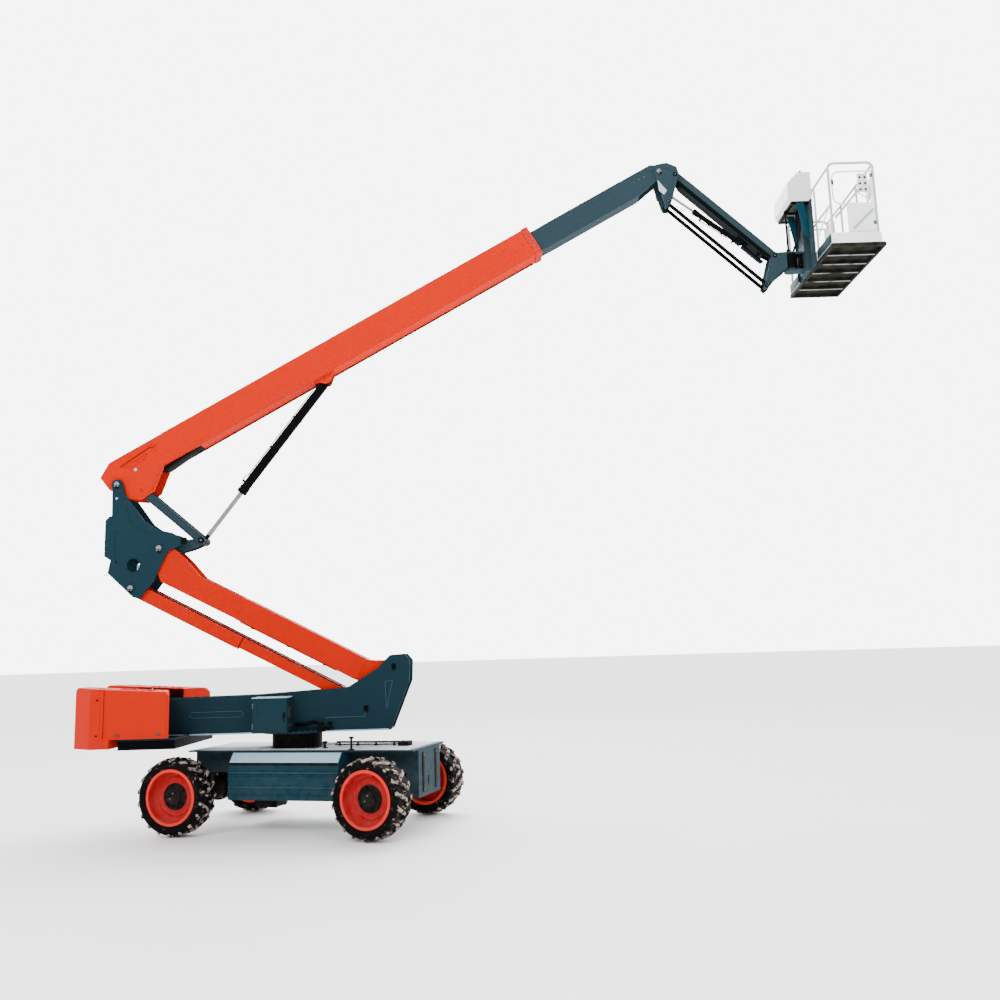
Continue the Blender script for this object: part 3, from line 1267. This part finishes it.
# %% Toggle lever and strut
TOGGLE_EYE = Vector((0.377, 0, 0.100))
TOGGLE_ALONG = laid(spot("toggle_lever_swing"), TOGGLE_EYE)
toggle_length = TOGGLE_EYE.length
build = Build("toggle_lever_trim", "toggle_lever", slate_paint, where=TOGGLE_ALONG)
for side in (-1, 1):
    y = 0.106
    build.using(slate_paint)
    ridge(build,
          [(0.10, 0.048), (toggle_length - 0.09, 0.034), (toggle_length - 0.09, -0.030),
           (0.10, -0.046)], y, side, 0.010, 0.004)
    for x, radius in ((0.0, 0.058), (toggle_length, 0.050)):
        collar(build, (x, 0), side, radius + 0.006, 0.041, y + 0.004, y - 0.001)
build.done()

STRUT_END = spot("toggle_lever_swing") + TOGGLE_EYE
STRUT = laid(spot("toggle_strut_swing"), STRUT_END - spot("toggle_strut_swing"))
strut_length = (STRUT_END - spot("toggle_strut_swing")).length
build = Build("toggle_strut_trim", "toggle_strut", slate_paint, where=STRUT)
for side in (-1, 1):
    y = 0.136
    build.using(slate_paint)
    ridge(build,
          [(0.09, 0.036), (strut_length - 0.09, 0.036), (strut_length - 0.09, -0.036),
           (0.09, -0.036)], y, side, 0.009, 0.004)
    build.using(enamel).stud(side, strut_length, 0, 0.1495, 0.156, 0.043, 32, 0.003)
    build.using(zinc_steel).bolt((strut_length, side * 0.156, 0), (0, side, 0), 0.024)
    build.using(chrome_rod).stud(side, 0, 0, 0.135, 0.142, 0.034, 28, 0.002)
    build.using(zinc_steel).bolt((0, side * 0.142, 0), (0, side, 0), 0.018)
build.done()

# %% Cylinders: glands, ports, hard lines and hose ends
def dress_cylinder(name, body, place, radius, length, port_side):
    """A gland ring with spanner holes, a base band, two ports and the pipe between them."""
    build = Build(name, body, enamel, where=place)
    build.using(enamel)
    build.lathe([(radius * 0.55, length + 0.010), (radius + 0.002, length + 0.010),
                 (radius + 0.010, length + 0.002),
                 (radius + 0.010, length - 0.034), (radius + 0.0072, length - 0.036)], 48, axis="x")
    build.using(zinc_steel)
    for y, z in around(6, radius * 0.80):
        build.bolt((length + 0.010, y, z), (1, 0, 0), max(0.010, radius * 0.20), washer=False)
    build.using(enamel)
    base_port, end_port = radius * 2.2, length - 0.16
    for inner, outer, thick, sides, bevel in ((-0.004, 0.028, 0.018, 20, 0.003),
                                              (0.028, 0.040, 0.014, 6, 0.002)):
        for x in (base_port, end_port):
            build.rod((x, 0, port_side * (radius + inner)), (x, 0, port_side * (radius + outer)),
                      thick, sides, bevel)
    port_line, pipe_line = port_side * (radius + 0.036), port_side * (radius + 0.016)
    build.tube([(end_port, 0, port_line), (length - 0.24, 0, port_line),
                (length - 0.28, 0, pipe_line),
                (base_port + 0.14, 0, pipe_line), (base_port + 0.10, 0, pipe_line)], 0.0075, 0.03)
    for share in (0.35, 0.62):
        x = length * share
        build.lathe([(radius + 0.0045, x - 0.014), (radius + 0.0045, x + 0.014),
                     (radius - 0.001, x + 0.014),
                     (radius - 0.001, x - 0.014), (radius + 0.0045, x - 0.014)], 40, axis="x")
    build.done()


dress_cylinder("boom_cylinder_trim", "boom_barrel", CYLINDER, 0.068, 2.140, 1)
RISER_CYLINDER = laid(spot("riser_barrel_swing"), aim("riser_rod_slide"))
dress_cylinder("riser_cylinder_trim", "riser_barrel", RISER_CYLINDER, 0.075, 1.500, 1)
dress_cylinder("jib_cylinder_trim", "jib_barrel", JIB_CYLINDER, 0.038, 0.860, -1)

# %% Fly boom
FLY_HALF, FLY_DEPTH = 0.128, 0.175
build = Build("fly_boom_trim", "fly_boom", slate_paint, where=FLY)
for side in (-1, 1):
    build.using(slate_paint)
    ridge(build, [(-0.44, 0.120), (-0.16, 0.120), (-0.10, 0.060), (-0.16, -0.060), (-0.36, -0.110)],
          FLY_HALF, side,
          0.010, 0.004, closed=False)
    keeper(build, 0.0, 0.0, 0.172, side, 0.034, chrome_rod)
    build.using(zinc_steel)
    for x, z in ((-0.42, 0.05), (-0.33, 0.05), (-0.24, 0.05)):
        build.bolt((x, side * FLY_HALF, z), (0, side, 0), 0.016)
build.using(slate_paint)
for side in (-1, 1):
    weld(build, [(-2.10, side * FLY_HALF, FLY_DEPTH), (-0.62, side * FLY_HALF, FLY_DEPTH)], 0.0035)
    weld(build, [(-2.10, side * FLY_HALF, -FLY_DEPTH), (-0.50, side * FLY_HALF, -FLY_DEPTH)],
         0.0035)
build.done()

# %% Nose bracket, jib and head
jib_length = (spot("jib_head_level") - spot("jib_lift")).length
nose_jib, nose_link = (NOSE.inverted() @ spot(name) for name in ("jib_lift", "jib_link_swing"))
build = Build("nose_bracket_trim", "nose_bracket", slate_paint, where=NOSE)
for side in (-1, 1):
    for at, radius in ((nose_jib, 0.034), (nose_link, 0.028)):
        build.using(enamel).stud(side, at.x, at.z, 0.157, 0.164, radius, 28, 0.002)
        build.using(zinc_steel).bolt((at.x, side * 0.164, at.z), (0, side, 0), 0.020)
    build.using(slate_paint)
    ridge(build, [(-0.02, 0.055), (0.12, 0.045), (0.225, -0.02), (0.18, -0.40), (0.10, -0.46)],
          0.158, side,
          0.010, 0.004, closed=False)
    build.using(link_grey)
    build.plate([(-0.030, -0.150), (0.110, -0.330), (0.060, -0.400), (-0.015, -0.330)],
                *sorted((side * 0.1585, side * 0.164)), 0.002)
build.done()

build = Build("jib_trim", "jib", slate_paint, where=JIB)
for side in (-1, 1):
    build.using(slate_paint)
    weld(build, [(0.21, side * 0.075, 0.095), (jib_length - 0.21, side * 0.075, 0.095)], 0.003)
    weld(build, [(0.21, side * 0.075, -0.075), (jib_length - 0.21, side * 0.075, -0.075)], 0.003)
build.using(hose_rubber)
for y in (-0.020, 0.0, 0.020):
    build.tube([(0.22, y, 0.104), (jib_length - 0.24, y, 0.104)], 0.007)
build.using(enamel)
for number in range(5):
    x = 0.30 + number * 0.36
    build.box((x - 0.014, -0.036, 0.0945), (x + 0.014, 0.036, 0.1155), 0.003)
    build.using(zinc_steel).bolt((x, -0.030, 0.1155), (0, 0, 1), 0.009)
    build.bolt((x, 0.030, 0.1155), (0, 0, 1), 0.009).using(enamel)
build.done()

head_link = HEAD.inverted() @ (spot("jib_link_swing") + spot("jib_head_level") - spot("jib_lift"))
rotator = HEAD.inverted() @ spot("platform_rotate")
build = Build("jib_head_trim", "jib_head", slate_paint, where=HEAD)
for side in (-1, 1):
    for x, z, radius in ((0, 0, 0.034), (head_link.x, head_link.z, 0.028)):
        build.using(enamel).stud(side, x, z, 0.155, 0.162, radius, 28, 0.002)
        build.using(zinc_steel).bolt((x, side * 0.162, z), (0, side, 0), 0.020)
build.using(enamel)
build.lathe([(0.1105, -0.186), (0.1135, -0.184), (0.1135, 0.054), (0.1105, 0.056)], 48, axis="z",
            at=(rotator.x, 0, 0))
build.lathe([(0.112, -0.150), (0.116, -0.146), (0.116, -0.132), (0.112, -0.128)], 48, axis="z",
            at=(rotator.x, 0, 0))
build.lathe([(0.112, 0.010), (0.116, 0.014), (0.116, 0.026), (0.112, 0.030)], 48, axis="z",
            at=(rotator.x, 0, 0))
build.done()

# %% [markdown]
# ## Platform
#
# The platform is what a person touches, so it gets most of the small things: a grating in the
# floor, braces and panels between the rails, the control console with its sticks and switches, a
# foot switch, and lanyard rings.

# %% Floor grating
floor_low, floor_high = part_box("platform_floor")
rails_low, rails_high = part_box("platform_rails")
grate_top = floor_low.z + 0.060
toe_top = floor_high.z
build = Build("floor_grating", "platform", zinc_steel)
for number in range(41):
    y = floor_low.y + 0.06 + number * (floor_high.y - floor_low.y - 0.12) / 40
    build.using(zinc_steel).box((floor_low.x + 0.05, y - 0.003, grate_top),
                                (floor_high.x - 0.08, y + 0.003, grate_top + 0.005), 0)
for number in range(13):
    x = floor_low.x + 0.08 + number * (floor_high.x - floor_low.x - 0.19) / 12
    build.box((x - 0.003, floor_low.y + 0.05, grate_top),
              (x + 0.003, floor_high.y - 0.05, grate_top + 0.004), 0)
for near, far in ((floor_low.y + 0.02, -0.40), (0.40, floor_high.y - 0.02)):
    build.using(teal_paint).box((floor_low.x + 0.004, near, grate_top + 0.002),
                                (floor_low.x + 0.0115, far, toe_top - 0.004), 0.002)
build.done()

# %% Rails: sleeves, braces, the switch panel and lanyard rings
rail_left, rail_right = rails_low.x + 0.019, rails_high.x - 0.019
rail_near, rail_far = rails_low.y + 0.019, rails_high.y - 0.019
rail_top = rails_high.z - 0.019
rail_second = rail_top - 0.135
rail_mid = floor_low.z + 0.680
build = Build("rail_trim", "platform", white_paint)
build.using(white_paint)
for x in (rail_left, rail_right):
    for y in (rail_near, rail_far):
        build.lathe([(0.022, 0.0), (0.026, 0.002), (0.026, 0.052), (0.022, 0.056)], 24, axis="z",
                    at=(x, y, grate_top + 0.001))
for near, far in ((rail_near, rail_near / 3), (rail_near / 3, rail_far / 3),
                  (rail_far / 3, rail_far)):
    build.box((rail_right - 0.004, near + 0.03, toe_top + 0.05),
              (rail_right, far - 0.03, rail_mid - 0.03), 0.0015)
    build.tube([(rail_right, near + 0.022, toe_top + 0.044),
                (rail_right, far - 0.022, toe_top + 0.044)], 0.010)
build.tube([(rail_left, rail_near + 0.02, rail_mid + 0.01),
            (rail_left, rail_near / 3 - 0.02, rail_mid - 0.24)], 0.011)
build.tube([(rail_left, rail_far - 0.02, rail_mid + 0.01),
            (rail_left, rail_far / 3 + 0.02, rail_mid - 0.24)], 0.011)
build.tube([(rail_right, rail_near + 0.05, rail_mid + 0.04),
            (rail_right, rail_near / 3 - 0.04, rail_second - 0.03)], 0.010)
build.using(white_plastic).box((rail_right - 0.006, rail_near + 0.12, rail_mid + 0.14),
                               (rail_right + 0.006, rail_near + 0.32, rail_second - 0.06), 0.006)
build.using(black_plastic)
for column in range(3):
    for row in range(2):
        build.rod((rail_right - 0.0075, rail_near + 0.16 + column * 0.06,
                   rail_mid + 0.22 + row * 0.10),
                  (rail_right + 0.0075, rail_near + 0.16 + column * 0.06,
                   rail_mid + 0.22 + row * 0.10), 0.017, 20, 0.002)
build.using(zinc_steel)
for x, y in ((rail_left, 0.20), (rail_left, -0.20), (rail_right, 0.30), (rail_right, -0.30)):
    build.tube([(x - 0.02, y, rail_top - 0.045), (x - 0.02, y, rail_top - 0.107),
                (x + 0.02, y, rail_top - 0.107),
                (x + 0.02, y, rail_top - 0.045)], 0.005, 0.012)
build.done()

# %% Gate: braces, hinges, latch and panel
gate_low, gate_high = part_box("gate")
gate_y = (gate_low.y + gate_high.y) / 2
build = Build("gate_trim", "gate", link_grey)
build.tube([(gate_low.x + 0.02, gate_y, rail_mid - 0.215),
            (gate_high.x - 0.205, gate_y, rail_mid + 0.225)], 0.016)
build.tube([(gate_low.x + 0.27, gate_y - 0.010, gate_low.z + 0.04),
            (gate_high.x - 0.03, gate_y - 0.010, gate_low.z + 0.34)], 0.016)
build.using(white_plastic).box((gate_high.x - 0.225, gate_y - 0.006, rail_mid + 0.17),
                               (gate_high.x - 0.070, gate_y + 0.006, gate_high.z - 0.05), 0.005)
build.using(black_plastic)
for column in range(2):
    for row in range(3):
        x, z = gate_high.x - 0.185 + column * 0.075, rail_mid + 0.215 + row * 0.095
        build.rod((x, gate_y - 0.009, z), (x, gate_y + 0.009, z), 0.020, 20, 0.002)
build.using(zinc_steel)
for z in (gate_low.z + 0.10, gate_high.z - 0.12):
    build.lathe([(0.016, 0.0), (0.0215, 0.003), (0.0215, 0.057), (0.016, 0.060)], 24, axis="z",
                at=(gate_high.x - 0.015, gate_y, z))
build.using(enamel).box((gate_low.x + 0.002, gate_y - 0.018, rail_mid + 0.30),
                        (gate_low.x + 0.030, gate_y + 0.018, rail_mid + 0.38), 0.003)
build.done()

# %% Control console
console_low, console_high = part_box("console")
front_edge, back_edge = console_low.x, console_high.x
near_edge, far_edge = console_low.y, console_high.y
mid_y = (near_edge + far_edge) / 2
build = Build("console_controls", "platform", white_plastic)
build.using(enamel)
for y in (near_edge + 0.01, mid_y - 0.02, far_edge - 0.05):
    build.box((front_edge + 0.045, y, console_low.z - 0.036),
              (back_edge - 0.004, y + 0.04, console_low.z - 0.0005), 0.004)
for x in (front_edge + 0.045, back_edge - 0.044):
    build.box((x, near_edge + 0.012, console_low.z - 0.040),
              (x + 0.04, far_edge - 0.012, console_low.z - 0.002), 0.004)
build.using(black_plastic).box((front_edge + 0.10, near_edge + 0.06, console_low.z - 0.020),
                               (back_edge - 0.06, far_edge - 0.06, console_low.z - 0.0005), 0.006)
build.using(zinc_steel)
for y in (near_edge + 0.03, far_edge - 0.03):
    for x in (front_edge + 0.065, back_edge - 0.024):
        build.bolt((x, y, console_low.z - 0.040), (0, 0, -1), 0.014)
build.done()

reach = 0.200
slope = laid(Vector((back_edge - reach, 0, console_high.z)), LEVEL)
panel = Build("console_panel", "platform", black_plastic, where=slope)
panel.box((0.02, near_edge + 0.04, 0.0), (reach - 0.02, far_edge - 0.04, 0.004), 0.002)
for y in (near_edge + 0.16, far_edge - 0.16):
    panel.using(hose_rubber).lathe([(0.040, 0.0), (0.040, 0.010), (0.030, 0.018), (0.034, 0.026),
                                    (0.022, 0.034), (0.024, 0.042),
                          (0.012, 0.048)], 28, axis="z", at=(reach * 0.5, y, 0.004))
    panel.using(black_plastic).rod((reach * 0.5, y, 0.045), (reach * 0.5, y, 0.075), 0.010, 16,
                                   0.002)
    panel.rod((reach * 0.5, y, 0.070), (reach * 0.5, y, 0.105), 0.018, 24, 0.006)
for row in range(2):
    for column in range(6):
        x, y = reach * 0.22 + row * 0.045, mid_y - 0.125 + column * 0.05
        panel.using(zinc_steel).rod((x, y, 0.004), (x, y, 0.009), 0.010, 6, 0.001)
        panel.rod((x, y, 0.009), (x - 0.004, y, 0.030), 0.003, 10, 0.001)
panel.using(red_plastic).rod((reach * 0.80, mid_y, 0.004), (reach * 0.80, mid_y, 0.024), 0.022, 24,
                             0.005)
panel.done()

# %% Mast fittings, foot switch and manual box
mast_low, mast_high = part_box("platform_mast")
turn = spot("platform_rotate")
build = Build("platform_fittings", "platform", enamel)
back = floor_low.x
build.using(enamel).rod((turn.x - 0.01, 0, 8.42), (turn.x - 0.01, 0, console_low.z - 0.010), 0.016,
                        20)
for z in (8.44, console_low.z - 0.060):
    build.rod((turn.x - 0.01, 0, z), (turn.x - 0.01, 0, z + 0.02), 0.028, 24, 0.003)
build.using(enamel).box((turn.x + 0.124, -0.050, turn.z - 0.17),
                        (back - 0.104, 0.050, turn.z + 0.10), 0.008)
build.using(zinc_steel)
for y in (-0.03, 0.0, 0.03):
    for z in (turn.z - 0.12, turn.z - 0.03, turn.z + 0.06):
        build.rod((turn.x + 0.150, -0.049, z), (turn.x + 0.150, -0.060, z), 0.012, 6, 0.002)
build.using(cover_paint)
for y in (-0.31, 0.17):
    build.plate([(back - 0.230, console_low.z - 0.03), (back - 0.110, console_low.z - 0.03),
                 (back - 0.030, 8.62), (back - 0.030, 8.48),
                 (back - 0.130, 8.56)], y - 0.006, y + 0.006, 0.002)
build.using(hose_rubber)
for number, y in enumerate((-0.055, -0.020, 0.020, 0.055)):
    build.tube([(turn.x + 0.06, y, 8.40), (turn.x + 0.10, y, 8.52), (back - 0.140, y * 1.6, 8.62),
                (back - 0.115, y * 1.6, 8.80),
                (back - 0.115, y * 1.6, console_low.z - 0.005)], 0.009, 0.08)
build.using(white_plastic).box((rail_left + 0.020, rail_near + 0.10, toe_top + 0.02),
                               (rail_left + 0.075, rail_near + 0.42, toe_top + 0.24), 0.008)
build.using(enamel).box((rail_left + 0.018, rail_near + 0.24, toe_top + 0.20),
                        (rail_left + 0.077, rail_near + 0.28, toe_top + 0.23), 0.003)
build.box((rail_left + 0.16, -0.56, grate_top + 0.006),
          (rail_left + 0.36, -0.38, grate_top + 0.030), 0.006)
build.using(hose_rubber).box((rail_left + 0.18, -0.54, grate_top + 0.030),
                             (rail_left + 0.32, -0.40, grate_top + 0.044), 0.005)
build.done()

# %% [markdown]
# ## Camera, floor and light
#
# The camera stands far back, a little above head height, and is tipped up to take in the
# platform nearly ten metres above the ground.  The floor is pale, and big soft lamps stand in
# for an overcast sky.

# %% Camera
SENSOR_WIDTH, FOCAL_SHARE = 36.0, 0.95552
CAMERA_PLACE, TIP_UP, ROLL = (2.8838, -14.2341, 2.3295), 9.13, -1.70
camera_data = bpy.data.cameras.new("camera")
camera_data.sensor_width = SENSOR_WIDTH
camera_data.lens = SENSOR_WIDTH * FOCAL_SHARE
camera_data.clip_end = 1200.0
camera = bpy.data.objects.new("camera", camera_data)
bpy.context.scene.collection.objects.link(camera)
camera.matrix_world = (Matrix.Translation(CAMERA_PLACE)
                       @ Matrix.Rotation(math.radians(90 + TIP_UP), 4, "X")
                       @ Matrix.Rotation(math.radians(ROLL), 4, "Z"))
bpy.context.scene.camera = camera
print("camera at", [round(v, 2) for v in camera.location], "lens", round(camera_data.lens, 1), "mm")

# %% Floor, lamps and sky
FLOOR_RADIUS = 380.0
floor = bmesh.new()
bmesh.ops.create_circle(floor, cap_ends=True, segments=128, radius=FLOOR_RADIUS)
floor_data = bpy.data.meshes.new("floor")
floor.to_mesh(floor_data)
floor.free()
ground = bpy.data.objects.new("floor", floor_data)
ground.location = (0, 0, cad_low.z - 0.001)
bpy.context.scene.collection.objects.link(ground)
pale = Finish("pale studio floor", Roughness=0.7, Specular_IOR_Level=0.2)
pale.feed(Base_Color=pale.mix(pale.noise(0.6, 5.0).over(0.5, 0.6), (0.95, 0.95, 0.95),
                              (0.91, 0.91, 0.91)))
floor_data.materials.append(pale.material)


def lamp(name, place, target, size, power):
    data = bpy.data.lights.new(name, "AREA")
    data.shape, data.size, data.energy = "DISK", size, power
    piece = bpy.data.objects.new(name, data)
    piece.matrix_world = laid(Vector(place), (1, 0, 0))
    piece.rotation_euler = (Vector(target) - Vector(place)).to_track_quat("-Z", "Y").to_euler()
    bpy.context.scene.collection.objects.link(piece)


middle = (cad_low + cad_high) / 2
lamp("key", (-6, -15, 15), middle, 9.0, 3000)
lamp("fill", (13, -15, 9), middle, 10.0, 300)
lamp("back", (4, 15, 16), middle, 9.0, 1800)
lamp("platform", (5.5, -7.5, 11.5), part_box("platform_floor")[0], 3.0, 420)


SKY_BLEND, SKY_DIM, SKY_BRIGHT = 0.5, 0.55, 7.0


def sky():
    """A pale sky: bright behind the machine, dim overhead and on the camera's side."""
    world = bpy.data.worlds.new("studio")
    world.use_nodes = True
    tree = world.node_tree
    background = tree.nodes["Background"]
    background.inputs["Color"].default_value = (0.97, 0.985, 1.0, 1.0)
    direction = tree.nodes.new("ShaderNodeTexCoord")
    split = tree.nodes.new("ShaderNodeSeparateXYZ")
    ramp = tree.nodes.new("ShaderNodeMapRange")
    tree.links.new(direction.outputs["Generated"], split.inputs["Vector"])
    tree.links.new(split.outputs["Y"], ramp.inputs["Value"])
    for name, value in (("From Min", 0.0), ("From Max", SKY_BLEND), ("To Min", SKY_DIM),
                        ("To Max", SKY_BRIGHT)):
        ramp.inputs[name].default_value = value
    tree.links.new(ramp.outputs["Result"], background.inputs["Strength"])
    bpy.context.scene.world = world


sky()
print("floor, four lamps and a pale sky")

# %% Write the sizes and finish
print("CAD box   ", [round(v, 3) for v in cad_low], [round(v, 3) for v in cad_high])
print(len(made), "pieces made")
